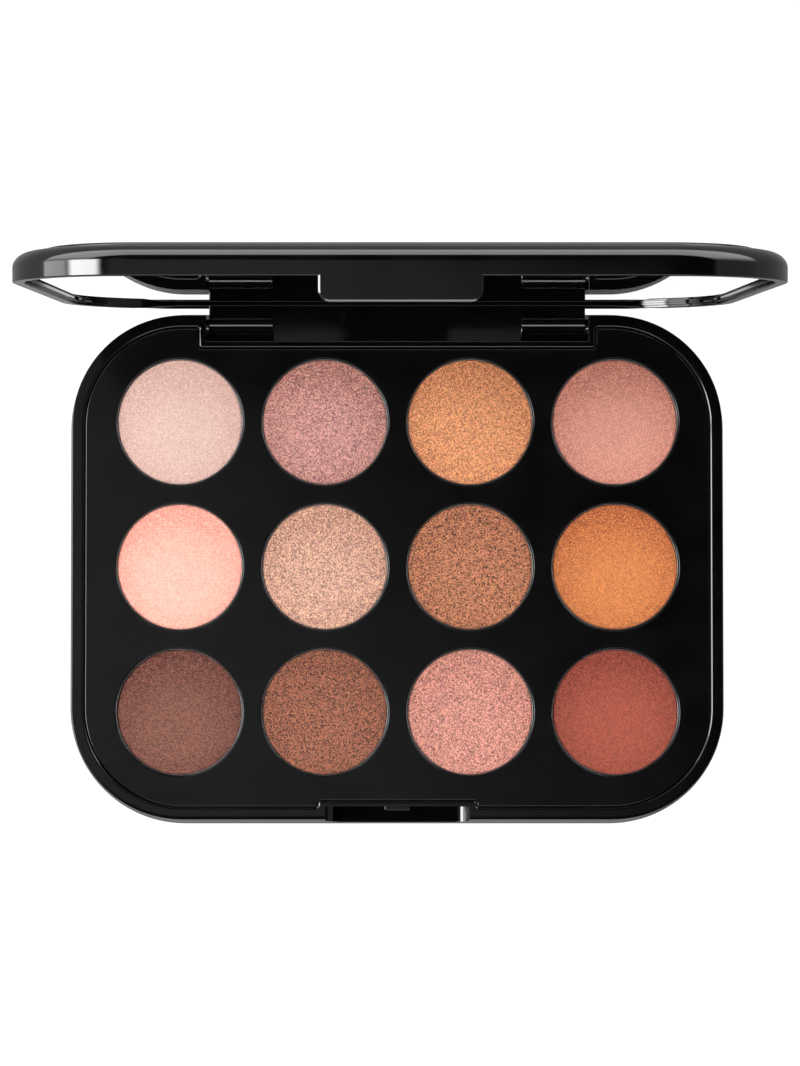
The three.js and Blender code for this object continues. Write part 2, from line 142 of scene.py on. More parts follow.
# %% Outlines with rounded corners
def outline(corners, radii, grow=0.0, steps=10):
    """Points round a closed outline whose sides meet at right angles, anticlockwise.

    Every side is moved outwards by grow. At a corner where the side directions are a and b,
    with outward normals m and n, the rounding is the quarter circle
    centre + radius * (m cos t + n sin t). An outside corner's radius grows with the outline
    and an inside corner's radius shrinks."""
    corners = np.asarray(corners, float)
    arriving = corners - np.roll(corners, 1, axis=0)
    leaving = np.roll(corners, -1, axis=0) - corners
    arriving /= np.linalg.norm(arriving, axis=1, keepdims=True)
    leaving /= np.linalg.norm(leaving, axis=1, keepdims=True)
    turn = arriving[:, 0] * leaving[:, 1] - arriving[:, 1] * leaving[:, 0]
    m = np.stack([arriving[:, 1], -arriving[:, 0]], axis=1)
    n = np.stack([leaving[:, 1], -leaving[:, 0]], axis=1)
    radius = turn * np.maximum(np.asarray(radii, float) + grow * turn, 0.01)
    centre = corners + (grow - radius)[:, None] * (m + n)
    t = np.linspace(0, np.pi / 2, steps + 1)[None, :, None]
    arcs = m[:, None, :] * np.cos(t) + n[:, None, :] * np.sin(t)
    return (centre[:, None, :] + radius[:, None, None] * arcs).reshape(-1, 2)


def rectangle(half_x, half_y, centre=(0.0, 0.0)):
    """The four corners of a rectangle, anticlockwise."""
    signs = np.array([(-1, -1), (1, -1), (1, 1), (-1, 1)])
    return signs * (half_x, half_y) + np.asarray(centre)


def quarter(start, end, steps=6, bulge="first"):
    """Levels along a quarter of an ellipse between two (height, grow) pairs. With bulge first
    the height moves first, as it does over the edge of a wall that turns into a flat top."""
    t = np.linspace(0, np.pi / 2, steps + 1)
    early, late = np.sin(t), 1 - np.cos(t)
    if bulge != "first":
        early, late = late, early
    height = start[0] + (end[0] - start[0]) * early
    grow = start[1] + (end[1] - start[1]) * late
    return list(zip(height, grow))


# %% Grids of points made into meshes
AXES = {"z": (0, 1, 2), "x": (2, 0, 1), "y": (1, 2, 0)}


def stack(corners, radii, levels, along="z", steps=10):
    """A grid of points: the outline once for each (height, grow) level. The outline is drawn in
    X and Y and carried along Z, or in Y and Z along X, or in Z and X along Y."""
    rings = [
        np.c_[ring, np.full(len(ring), height)]
        for height, grow in levels
        for ring in [outline(corners, radii, grow, steps)]
    ]
    return np.stack(rings)[..., AXES[along]]


def lathe(profile, centre=(0.0, 0.0), segments=96, along="z"):
    """A grid of points: each (radius, height) of the profile swept round an axis."""
    radius, height = np.asarray(profile, float).T
    angle = np.linspace(0, 2 * np.pi, segments, endpoint=False)
    first = centre[0] + radius[:, None] * np.cos(angle)
    second = centre[1] + radius[:, None] * np.sin(angle)
    third = np.broadcast_to(height[:, None], first.shape)
    return np.stack([first, second, third], axis=-1)[..., AXES[along]]


def grid_mesh(name, grids):
    """One mesh from one or more grids of rings. Neighbouring rings are joined by quads, and the
    first and last ring of each grid are closed by a flat face."""
    points, faces, start = [], [], 0
    for grid in grids:
        levels, count = grid.shape[:2]
        index = start + np.arange(levels * count).reshape(levels, count)
        after = np.roll(index, -1, axis=1)
        quads = np.stack([index[:-1], after[:-1], after[1:], index[1:]], axis=-1)
        faces += quads.reshape(-1, 4).tolist()
        faces += [index[0, ::-1].tolist(), index[-1].tolist()]
        points.append(grid.reshape(-1, 3))
        start += levels * count
    mesh = bpy.data.meshes.new(name)
    mesh.from_pydata((np.concatenate(points) * MM).tolist(), [], faces)
    return mesh


def new_object(name, grids):
    """A mesh object at the origin, holding the given grids."""
    piece = bpy.data.objects.new(name, grid_mesh(name, grids))
    bpy.context.scene.collection.objects.link(piece)
    return piece


# %% [markdown]
# ## Cutting, joining and finishing
# A notch or a hole is a solid of its own that is taken out of the body. Where a cutter flares
# out at the top by a quarter circle, the cut leaves a rounded edge on the plastic, which is
# what a moulded edge looks like: a thin line of light. After the last cut the faces are shaded
# smooth across shallow angles only, with normals weighted by area so that flat faces stay flat.

# %% Boolean and shading helpers
def combine(piece, operation, grids):
    """Cuts the solids in grids out of the piece, or joins them to it, one after the other."""
    for grid in grids:
        tool = new_object("cutter", [grid])
        modifier = piece.modifiers.new("combine", "BOOLEAN")
        modifier.operation = operation
        modifier.solver = "MANIFOLD"
        modifier.object = tool
        bake_modifiers(piece)
        bpy.data.objects.remove(tool)
    return piece


def bake_modifiers(piece):
    """Replaces the piece's mesh by the result of its modifiers."""
    bpy.context.view_layer.update()
    result = bpy.data.meshes.new_from_object(
        piece.evaluated_get(bpy.context.evaluated_depsgraph_get())
    )
    piece.modifiers.clear()
    piece.data = result


def finish_shading(piece, sharp_degrees=32.0):
    """Smooth shading across shallow edges, with large flat faces kept flat."""
    mesh = piece.data
    mesh.polygons.foreach_set("use_smooth", np.ones(len(mesh.polygons), bool))
    mesh.set_sharp_from_angle(angle=np.radians(sharp_degrees))
    weighted = piece.modifiers.new("flat faces stay flat", "WEIGHTED_NORMAL")
    weighted.keep_sharp = True
    weighted.weight = 100
    bake_modifiers(piece)


bodies = frame["record"]["behaviour"]["bodies"]
body_names = {node: body for body, nodes in bodies.items() for node in nodes}


def settle(piece, node, material):
    """Gives a finished piece its material, puts it on the body of the CAD node it stands for, and hides that node.
    """
    piece.data.materials.clear()
    piece.data.materials.append(material)
    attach(piece, body_names[node])
    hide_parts(node)
    print(piece.name, len(piece.data.vertices), "points,", len(piece.data.polygons), "faces")


# %% [markdown]
# ## Writing materials as sums
# A material is a set of nodes, but it reads best as arithmetic. One small class wraps the
# output of a node, and adding or multiplying two of them adds the Math node that does it.

# %% Shader arithmetic
class Value:
    """The output of a shader node, with arithmetic on numbers."""

    def __init__(self, nodes, socket):
        self.nodes, self.socket = nodes, socket

    def _math(self, operation, *terms):
        return self.nodes.node("ShaderNodeMath", {"operation": operation}, dict(enumerate(terms)))

    def __add__(self, other):
        return self._math("ADD", self, other)

    def __sub__(self, other):
        return self._math("SUBTRACT", self, other)

    def __rsub__(self, other):
        return self._math("SUBTRACT", other, self)

    def __mul__(self, other):
        return self._math("MULTIPLY", self, other)

    __radd__ = __add__
    __rmul__ = __mul__

    def size(self):
        """The value without its sign."""
        return self._math("ABSOLUTE", self)

    def larger(self, other):
        """The larger of two values."""
        return self._math("MAXIMUM", self, other)

    def root(self):
        """The square root."""
        return self._math("SQRT", self)

    def rise(self, low, high):
        """0 below low, 1 above high, and a smooth step from one to the other."""
        settings = {"interpolation_type": "SMOOTHSTEP"}
        sockets = {"Value": self, "From Min": low, "From Max": high}
        return self.nodes.node("ShaderNodeMapRange", settings, sockets)


class Nodes:
    """A node tree that is filled by one method."""

    def __init__(self, tree):
        self.tree = tree

    def feed(self, socket, value):
        """Links a Value to a socket, or sets the socket's own value."""
        if isinstance(value, Value):
            self.tree.links.new(value.socket, socket)
        else:
            socket.default_value = value

    def node(self, kind, settings=None, sockets=None, output=0):
        """Adds a node, makes its settings, then feeds its sockets, and gives one output."""
        node = self.tree.nodes.new(kind)
        for name, value in (settings or {}).items():
            setattr(node, name, value)
        for name, value in (sockets or {}).items():
            self.feed(node.inputs[name], value)
        return Value(self, node.outputs[output])

    def parts(self, vector):
        """The X, Y and Z of a vector."""
        split = self.node("ShaderNodeSeparateXYZ", None, {"Vector": vector})
        return [Value(self, socket) for socket in split.socket.node.outputs]


# %% A material that ends in a Principled surface
class Finish(Nodes):
    """One finish, with the patterns that plastic, powder and metal are made of."""

    def __init__(self, name, **uniform):
        self.material = bpy.data.materials.new(name)
        self.material.use_nodes = True
        super().__init__(self.material.node_tree)
        self.surface = self.tree.nodes["Principled BSDF"]
        self.set(**uniform)

    def set(self, **values):
        """Sets or links sockets of the surface; Base_Color stands for Base Color."""
        for name, value in values.items():
            self.feed(self.surface.inputs[name.replace("_", " ")], value)

    def place(self, centre=(0, 0, 0), turn=0.0, stretch=(1, 1, 1)):
        """The point on the piece in millimetres from a centre, stretched, then turned about Z."""
        x, y, z = np.array(centre, float) * stretch
        cos, sin = np.cos(turn), np.sin(turn)
        return self.node("ShaderNodeMapping", None, {
            "Vector": self.node("ShaderNodeTexCoord", output="Object"),
            "Scale": tuple(np.array(stretch) / MM),
            "Rotation": (0, 0, turn),
            "Location": (y * sin - x * cos, -x * sin - y * cos, -z),
        })

    def noise(self, place, blob, detail=2.0):
        """Cloudy noise whose blobs are about blob millimetres across."""
        sockets = {"Vector": place, "Scale": 1 / blob, "Detail": detail}
        return self.node("ShaderNodeTexNoise", None, sockets)

    def grains(self, place, grain):
        """Three independent random numbers for each grain, grain millimetres across."""
        sockets = {"Vector": place, "Scale": 1 / grain}
        return self.parts(self.node("ShaderNodeTexVoronoi", None, sockets, output="Color"))

    def mix(self, amount, first, second):
        """The first colour where amount is 0, the second where it is 1."""
        sockets = {0: amount, 6: first, 7: second}
        return self.node("ShaderNodeMix", {"data_type": "RGBA"}, sockets, output=2)

    def bump(self, height, depth):
        """A normal that follows a height of 0 to 1, depth millimetres deep."""
        return self.node("ShaderNodeBump", None, {"Height": height, "Distance": depth * MM})


def colour(red, green, blue):
    """Screen values from 0 to 255 as the linear values that shaders use."""
    screen = np.clip(np.array([red, green, blue]) / 255, 0, 1)
    linear = np.where(screen <= 0.04045, screen / 12.92, ((screen + 0.055) / 1.055) ** 2.4)
    return (*linear.tolist(), 1.0)


# %% [markdown]
# ## Black plastic, three ways
# The casing is glossy ABS: nearly black, with a sharp reflection that handling has softened
# here and there. The deck between the pans is moulded with a fine satin grain, and the cover
# panel is polished. The dye wanders very slightly, because real plastic is never one flat value.

# %% Plastic finishes
def black_plastic(name, shade, roughness, haze, grain, depth):
    """Dyed plastic: a colour that wanders, a moulded grain, and a haze on the gloss."""
    finish = Finish(name, IOR=1.5)
    place = finish.place()
    tint = finish.noise(place, 9.0).rise(0.3, 0.7)
    smear = finish.noise(finish.place(stretch=(1, 3, 1)), 14.0, detail=4.0).rise(0.4, 0.75)
    lighter = [value + 3 for value in shade]
    finish.set(
        Base_Color=finish.mix(tint, colour(*shade), colour(*lighter)),
        Roughness=smear * haze + roughness,
        Normal=finish.bump(finish.noise(place, grain, detail=3.0), depth),
    )
    return finish.material


gloss_black = black_plastic("gloss_black_plastic", (3, 3, 3), 0.07, 0.04, 0.8, 0.0005)
satin_black = black_plastic("satin_black_plastic", (2, 2, 2), 0.15, 0.04, 0.25, 0.0010)
panel_black = black_plastic("polished_black_plastic", (3, 3, 3), 0.04, 0.03, 1.2, 0.0004)
print("plastics:", gloss_black.name, satin_black.name, panel_black.name)

# %% [markdown]
# ## Metal, mirror, foam and label
# The pans are drawn from thin bright sheet, the pins from steel wire, so each has fine marks
# along the way it was drawn. The mirror is silvered glass, seen as a nearly perfect metal with
# a trace of dust. Foam sheet and the label's varnished paper are only seen from below.

# %% Metal, mirror, foam and label finishes
def drawn_metal(name, shade, roughness, stretch):
    """Bright metal with fine drawing marks that vary its roughness."""
    finish = Finish(name, Metallic=1.0)
    marks = finish.noise(finish.place(stretch=stretch), 0.15, detail=3.0)
    stain = finish.noise(finish.place(), 4.0).rise(0.35, 0.7)
    darker = [value * 0.9 for value in shade]
    finish.set(
        Base_Color=finish.mix(stain, colour(*shade), colour(*darker)),
        Roughness=marks * 0.18 + roughness,
        Normal=finish.bump(marks, 0.003),
    )
    return finish.material


def silvered_glass(name):
    """A mirror: perfectly smooth, with a faint film of dust that dims it."""
    finish = Finish(name, Metallic=1.0, Roughness=0.0)
    dust = finish.noise(finish.place(), 6.0, detail=5.0).rise(0.5, 0.8)
    finish.set(Base_Color=finish.mix(dust, colour(230, 231, 232), colour(226, 227, 228)))
    return finish.material


def foam(name):
    """White closed-cell foam: pale cells with slightly darker walls between them."""
    finish = Finish(name, Roughness=0.9)
    cells = finish.grains(finish.place(), 0.35)[0]
    finish.set(
        Base_Color=finish.mix(cells, colour(214, 211, 203), colour(238, 236, 230)),
        Normal=finish.bump(cells, 0.05),
    )
    return finish.material


def label_print(name, half_x, half_y, centre_y, border):
    """Dark varnished paper with one plain pale line printed inside its edge."""
    finish = Finish(name)
    x, y, _ = finish.parts(finish.place(centre=(0, centre_y, 0)))
    edge = (x.size() - (half_x - border)).larger(y.size() - (half_y - border))
    line = edge.rise(-0.18, -0.12) * (1 - edge.rise(0.12, 0.18))
    fibre = finish.noise(finish.place(stretch=(4, 1, 1)), 0.3, detail=3.0)
    finish.set(
        Base_Color=finish.mix(line, colour(28, 28, 30), colour(168, 168, 170)),
        Roughness=fibre * 0.15 + 0.42,
        Normal=finish.bump(fibre, 0.004),
    )
    return finish.material


pan_metal = drawn_metal("bright_pan_metal", (140, 141, 143), 0.22, (1, 1, 12))
pin_steel = drawn_metal("drawn_pin_steel", (182, 182, 186), 0.2, (12, 1, 1))
mirror_glass = silvered_glass("silvered_mirror_glass")
foam_sheet = foam("white_foam_sheet")
print("metals and sheets:", pan_metal.name, pin_steel.name, mirror_glass.name, foam_sheet.name)

# %% [markdown]
# ## The base shell
# The outside is the palette's outline carried up from a rounded foot to the rim, leaning in a
# little on the way. The pocket for the deck, the hinge notch and the latch notch are cut out
# of it. Each cutter flares at the top, which leaves the rounded edges that catch the light.

# %% Sizes of the base
corner_radius = 20.85
base_flare = base_high[0] - half_width
foot_round = 1.0
edge_round = 0.25
overrun = 1.0
fine = 24                      # steps round a large corner
body_corners = rectangle(half_width, half_depth)
body_radii = [corner_radius] * 4

rim_band = 2.3
shelf_top = deck_top - 1.3
shelf_width = 1.2
floor_top = 1.8
hinge_wall = 1.3
hinge_block_half = 35.8
knuckle_radius = 2.3
notch_half = hinge_block_half + 0.35
notch_front = hinge_point[1] - knuckle_radius - 0.3
notch_floor = 1.3
back_trim = 0.25

parting = rim_top + 0.15
tab_half, tab_drop, tab_thickness, tab_corner = 12.4, 3.9, 1.5, 1.8
latch_half, latch_depth, latch_wall, latch_corner = tab_half + 1.2, 2.5, 1.0, 2.3
latch_back = latch_depth - half_depth
latch_floor = parting - tab_drop - 0.3
print("parting plane", parting, "flare of the foot", round(base_flare, 2))


def pocket_outline(inset, jog_round=0.5):
    """The deck pocket: the palette's outline set in, and stepped round both notches."""
    x, y = half_width - inset, half_depth - inset
    hinge_x, hinge_y = notch_half + hinge_wall, notch_front - hinge_wall
    latch_x, latch_y = latch_half + hinge_wall, latch_back + latch_wall
    corners = [
        (-x, -y), (-latch_x, -y), (-latch_x, latch_y), (latch_x, latch_y), (latch_x, -y), (x, -y),
        (x, y), (hinge_x, y), (hinge_x, hinge_y), (-hinge_x, hinge_y), (-hinge_x, y), (-x, y),
    ]
    radii = np.full(len(corners), jog_round)
    radii[[0, 5, 6, 11]] = corner_radius - inset
    return corners, radii


def flared(low, top, flare=edge_round):
    """Levels of a cutter that rounds over the edge it leaves at the height called top."""
    return [(low, 0.0), *quarter((top - flare, 0.0), (top, flare)), (top + overrun, flare)]


# %% The base shell's body and pockets
crown = 0.9                    # the rim falls away gently from here to its outline
base_levels = [
    *quarter((0.0, base_flare - foot_round), (foot_round, base_flare), bulge="second"),
    *quarter((rim_top - 0.15, 0.0), (rim_top - 0.03, -0.12)),
    (rim_top, -crown),
]
base_body = stack(body_corners, body_radii, base_levels, steps=fine)
base_shell = new_object("base_shell_moulding", [base_body])
combine(base_shell, "DIFFERENCE", [
    stack(*pocket_outline(rim_band), flared(shelf_top, rim_top, 0.45), steps=fine),
    stack(*pocket_outline(rim_band + shelf_width), [(floor_top, 0), (shelf_top + 0.2, 0)], steps=fine),
])

# %% The base shell's notches, catch and hinge bosses
beyond = half_depth + base_flare + overrun
label_half, label_centre_y = (label_high - label_low)[:2] / 2, (label_high + label_low)[1] / 2


def slot_in_wall(half, near, far, low):
    """A straight notch through a wall, with its top edges rounded over."""
    corners = rectangle(half, abs(far - near) / 2, centre=(0, (near + far) / 2))
    return stack(corners, [0.3] * 4, flared(low, rim_top, 0.18), steps=4)


latch_tongue = [(latch_floor, -latch_half), (rim_top + overrun, -latch_half),
                (rim_top + overrun, latch_half), (latch_floor, latch_half)]
latch_levels = [(-beyond, 0), *quarter((latch_back - 0.3, 0), (latch_back, -0.3))]
foot_corners = rectangle(notch_half, 2, centre=(0, half_depth + back_trim + 2))
combine(base_shell, "DIFFERENCE", [slot_in_wall(notch_half, notch_front, beyond, notch_floor)])
foot_levels = [(-1, 0), (rim_top + 1, 0)]
combine(base_shell, "DIFFERENCE", [stack(foot_corners, [0.1] * 4, foot_levels, steps=2)])
combine(base_shell, "DIFFERENCE", [
    stack(latch_tongue, [latch_corner, 0.1, 0.1, latch_corner], latch_levels, "y"),
])
ramp_fall = 0.2 * (beyond + latch_back)    # the notch's floor falls towards the front by a fifth
ramp_top = latch_floor + 0.1
ramp = [(-beyond, latch_floor - ramp_fall), (latch_back, ramp_top), (-beyond, ramp_top)]
ramp_half = latch_half - latch_corner
ramp_levels = [(-ramp_half, 0), (ramp_half, 0)]
combine(base_shell, "DIFFERENCE", [stack(ramp, [0.02] * 3, ramp_levels, "x", steps=2)])
combine(base_shell, "DIFFERENCE", [
    stack(rectangle(*(label_half + 0.1), centre=(0, label_centre_y)), [2.1] * 4, [(-1, 0), (0.35, 0)]),
])

lip_half, lip_tip = 2.375, latch_back - 0.75
lip_corners = rectangle(lip_half, 0.625, centre=(0, lip_tip + 0.625))
boss_low, boss_top, boss_length = hinge_point[1] - 2.0, shelf_top, 7.2
bosses = [
    stack(rectangle(boss_length / 2, 1.0, centre=(side * (notch_half + boss_length / 2), boss_low + 1.0)),
          [0.2] * 4, [(floor_top - 0.5, 0), (boss_top, 0)], steps=3)
    for side in (-1, 1)
]
combine(base_shell, "UNION", [
    stack(lip_corners, [0.25] * 4, [(rim_top - 1.0, -0.12), (rim_top - 0.88, 0),
                                    *quarter((rim_top - 0.15, 0), (rim_top, -0.15))]),
    *bosses,
])
bore_profile = [(0.05, notch_half - overrun), (0.85, notch_half - overrun), (0.85, notch_half + 6.05),
                (0.05, notch_half + 6.05)]
bores = [lathe([(radius, side * x) for radius, x in bore_profile][::side], hinge_point[1:], 32, "x")
         for side in (-1, 1)]
combine(base_shell, "DIFFERENCE", bores)
finish_shading(base_shell)
settle(base_shell, "base_shell", gloss_black)

# %% [markdown]
# ## The deck and its wells
# The deck is one moulding: a flat plate with a round cup hanging under each hole. Working it
# out as plate plus cups minus holes keeps every hole concentric with its cup, and the flared
# cutter rounds all twelve edges in one go.

# %% Pan places, measured on the model
rows, columns = range(1, 4), range(1, 5)
tags = [f"r{row}c{column}" for row in rows for column in columns]
pan_boxes = {tag: box_of(f"pan_{tag}") for tag in tags}
centres = {tag: (low + high)[:2] / 2 for tag, (low, high) in pan_boxes.items()}
pan_low, pan_high = pan_boxes["r1c1"]
pan_radius = (pan_high - pan_low)[0] / 2
print("pan radius", round(pan_radius, 2), "height", round(pan_high[2] - pan_low[2], 2))

# %% Deck tray
deck_gap = 0.2
deck_bottom = deck_top - 1.2
well_radius = pan_radius + 0.15
well_outer = well_radius + 0.9
well_bottom = deck_low[2]
well_floor = well_bottom + 0.8
deck_edge = 0.18
deck_levels = [(deck_bottom, -deck_gap),
               *quarter((deck_top - deck_edge, -deck_gap), (deck_top, -deck_gap - deck_edge))]
cup_profile = [(0.1, well_bottom), *[(well_outer + grow, z) for z, grow in quarter(
    (well_bottom, -0.4), (well_bottom + 0.4, 0.0), bulge="second")], (well_outer, deck_bottom + 0.4),
    (0.1, deck_bottom + 0.4)]
hole_profile = [(0.1, well_floor),
                *[(well_radius + grow, z) for z, grow in flared(well_floor, deck_top, 0.12)],
                (0.1, deck_top + overrun)]
deck = new_object("deck_tray_moulding", [stack(*pocket_outline(rim_band), deck_levels, steps=fine)])
combine(deck, "UNION", [lathe(cup_profile, centre) for centre in centres.values()])
combine(deck, "DIFFERENCE", [lathe(hole_profile, centre) for centre in centres.values()])
finish_shading(deck)
settle(deck, "deck_tray", satin_black)

# %% [markdown]
# ## Twelve pans
# A pan is a shallow cup drawn from thin metal. Its lip is cut flat with its two edges eased,
# and that fine line round the powder is all that is seen of it. The lip is a little thinner
# here than in the working model. One profile turned round the axis makes the pan.

# %% Pans
wall = 0.13
lip_round = 0.04
lip_profile = [
    *[(pan_radius + grow, z) for z, grow in quarter(
        (pan_high[2] - lip_round, 0), (pan_high[2], -lip_round))],
    *[(pan_radius - wall - grow, z) for z, grow in quarter(
        (pan_high[2], -lip_round), (pan_high[2] - lip_round, 0), bulge="second")],
]
foot_profile = [(pan_radius + grow, z) for z, grow in quarter(
    (pan_low[2], -0.4), (pan_low[2] + 0.4, 0.0), bulge="second")]
pan_profile = [(0.1, pan_low[2]), *foot_profile, *lip_profile, (pan_radius - wall, pan_low[2] + 0.4),
               (0.1, pan_low[2] + 0.4)]
for tag, centre in centres.items():
    pan = new_object(f"pan_{tag}_metal", [lathe(pan_profile, centre, 144)])
    finish_shading(pan)
    settle(pan, f"pan_{tag}", pan_metal)

# %% [markdown]
# ## Twelve cakes of pressed powder
# Powder is pressed through a piece of cloth, so a matte cake carries the print of the cloth:
# a square linen, a fine diagonal grain, or a steep twill. Shimmer shades are pressed smooth
# but are full of mica flakes that face every way. The cake's top is therefore a real relief,
# a height worked out at every point of a fine grid: print plus the slow unevenness of pressing.
# The grid is a square bent into a disc, which keeps its cells nearly equal, with a skirt and a
# bottom to close it.

# %% The print of the cloth
powder_radius = pan_radius - wall - 0.03
powder_top = pan_high[2] - 0.3
powder_bottom = pan_low[2] + 0.5
edge_drop = 0.16
edge_width = 0.4


def slow_waves(x, y, seed, longest, shortest, count=24):
    """A random smooth surface between about -1 and 1: the sum of plane waves whose directions,
    lengths and starts are drawn at random, divided by the root of half their number."""
    draw = np.random.default_rng(seed)
    heading = draw.uniform(0, 2 * np.pi, count)
    number = 2 * np.pi / np.exp(draw.uniform(np.log(shortest), np.log(longest), count))
    start = draw.uniform(0, 2 * np.pi, count)
    waves = [np.sin(k * (x * np.cos(a) + y * np.sin(a)) + s) for a, k, s in zip(heading, number, start)]
    return sum(waves) / np.sqrt(count / 2)


def ribs(x, y, pitch, lean, seed):
    """Parallel ribs: the sine of the distance across them, which wavers a little. lean is the
    angle of the ribs from the X axis in degrees."""
    across = -x * np.sin(np.radians(lean)) + y * np.cos(np.radians(lean))
    waver = slow_waves(x, y, seed, 6.0, 2.0) * 0.05
    return np.sin(2 * np.pi * (across + waver) / pitch)


def linen(x, y, seed):
    """Two sets of ribs at right angles, the finer print of a plain cloth."""
    return (ribs(x, y, 0.56, 0, seed) + ribs(x, y, 0.56, 90, seed + 1)) / 2


def twill(x, y, seed):
    return ribs(x, y, 0.52, 68, seed)


def diagonal(x, y, seed):
    return ribs(x, y, 0.46, 38, seed) * 0.6 + slow_waves(x, y, seed, 0.7, 0.35) * 0.5


def fine_grain(x, y, seed):
    return slow_waves(x, y, seed, 0.9, 0.35)


def flakes(x, y, seed):
    return slow_waves(x, y, seed, 0.8, 0.4, count=32)


# %% The shape of a cake
def disc_grid(count):
    """A square grid bent into a disc of radius 1: x = a root(1 - b*b/2), y = b root(1 - a*a/2)."""
    a, b = np.meshgrid(np.linspace(-1, 1, count), np.linspace(-1, 1, count))
    return a * np.sqrt(1 - b * b / 2), b * np.sqrt(1 - a * a / 2)


def cake(name, centre, print_of, depth, seed, count):
    """A closed cake: top grid at height powder_top plus the print, rounded off at the edge by a
    quarter of an ellipse, then a skirt down to a flat bottom."""
    u, v = disc_grid(count)
    x, y = u * powder_radius, v * powder_radius
    inward = powder_radius - np.hypot(x, y)
    fade = np.clip(inward / edge_width, 0, 1)
    relief = print_of(x, y, seed) * depth + slow_waves(x, y, seed + 50, 14, 5) * 0.012
    z = powder_top - edge_drop * (1 - np.sqrt(1 - (1 - fade) ** 2)) + np.minimum(relief * fade, 0.1)
    top = np.stack([x + centre[0], y + centre[1], z], axis=-1).reshape(-1, 3)
    index = np.arange(count * count).reshape(count, count)
    edge = np.concatenate([index[0, :-1], index[:-1, -1], index[-1, :0:-1], index[:0:-1, 0]])
    low = top[edge] * (1, 1, 0) + (0, 0, powder_bottom)
    below = count * count + np.arange(len(edge))
    quads = np.stack([index[:-1, :-1], index[:-1, 1:], index[1:, 1:], index[1:, :-1]], axis=-1)
    skirt = np.stack([below, np.roll(below, -1), np.roll(edge, -1), edge], axis=-1)
    faces = [*quads.reshape(-1, 4).tolist(), *skirt.tolist(), below[::-1].tolist()]
    mesh = bpy.data.meshes.new(name)
    mesh.from_pydata((np.concatenate([top, low]) * MM).tolist(), [], faces)
    piece = bpy.data.objects.new(name, mesh)
    bpy.context.scene.collection.objects.link(piece)
    return piece


# %% [markdown]
# ## The finish of a powder
# Matte powder scatters light evenly, and its grain changes its colour a little. Its colour is
# deepest near the wall, partly because the press bites first at the rim and packs it denser,
# and partly as painted shade; deeper towards the hinge and palest a little in front of the
# middle is painted shade of the well's rear wall and the open lid. A shimmer shade adds flakes:
# each grain draws a random tone, a random share of metal and one of two hues, so single flakes
# flash, some are a little golden, and others go dark; the lighter grains are partly painted glints.

# %% Powder finish
def powder_finish(name, centre, pale, deep_and_shaded, grain, contrast, shimmer):
    """Colour runs from the pale colour to the rim colour with the distance from the palest spot,
    a little in front of the middle: a denser rim plus painted shade of the well's wall and the
    open lid. Each grain makes it darker by up to 0.6 of contrast or lighter by up to 1.2 of it,
    and shimmer is the share of metal in the brightest flakes, whose lighter tone is partly a
    painted glint."""
    finish = Finish(name, IOR=1.4)
    x, y, _ = finish.parts(finish.place(centre=(*centre, 0)))
    # Painted shade: the colour deepens away from a spot 2.6 mm in front of the middle, partly for a denser rim and
    # partly standing in for the shade of the well's wall and the open lid.
    lifted = y + 2.6
    away = (x * x * 0.8 + lifted * lifted).root()
    density_and_shade = away.rise(3.0, 15.0)
    tone, metal, hue = finish.grains(finish.place(), grain)
    # Painted highlight: in shimmer shades the lighter grains partly stand in for glints off the mica; in matte
    # shades both grain colours are only a random tone.
    low, high = -0.6 * contrast, 1.2 * contrast
    dark = finish.mix(density_and_shade, colour(*shaded(pale, low)), colour(*shaded(deep_and_shaded, low)))
    light_grain_and_glint = finish.mix(density_and_shade, colour(*shaded(pale, high)), colour(*shaded(deep_and_shaded, high)))
    gilding = (0.97, 1.06, 0.92) if shimmer else (1, 1, 1)
    golden_grain_and_glint = colour(*np.multiply(shaded(pale, high), gilding))
    lit_grain_and_glint = finish.mix(hue.rise(0.4, 0.6), light_grain_and_glint, golden_grain_and_glint)
    surface = {
        "Base_Color": finish.mix(tone.rise(0.1, 0.9), dark, lit_grain_and_glint),
        "Roughness": metal * -0.12 + (0.62 if shimmer else 0.95),
        "Normal": finish.bump(tone, 0.008 if shimmer else 0.004),
    }
    if shimmer:
        surface["Metallic"] = metal.rise(0.45, 0.9) * shimmer
    finish.set(**surface)
    return finish.material


def shaded(screen, change):
    """A colour made lighter or darker by change, a share of what it is."""
    return [value * (1 + change) for value in screen]


def deepened_and_shaded(screen, rim_depth_and_shade):
    """The rim colour: powder pressed denser plus painted shade. Red falls least and blue most, by shares of the
    amount given.
    """
    return [value * (1 - share * rim_depth_and_shade) for value, share in zip(screen, (0.6, 1.0, 1.1))]


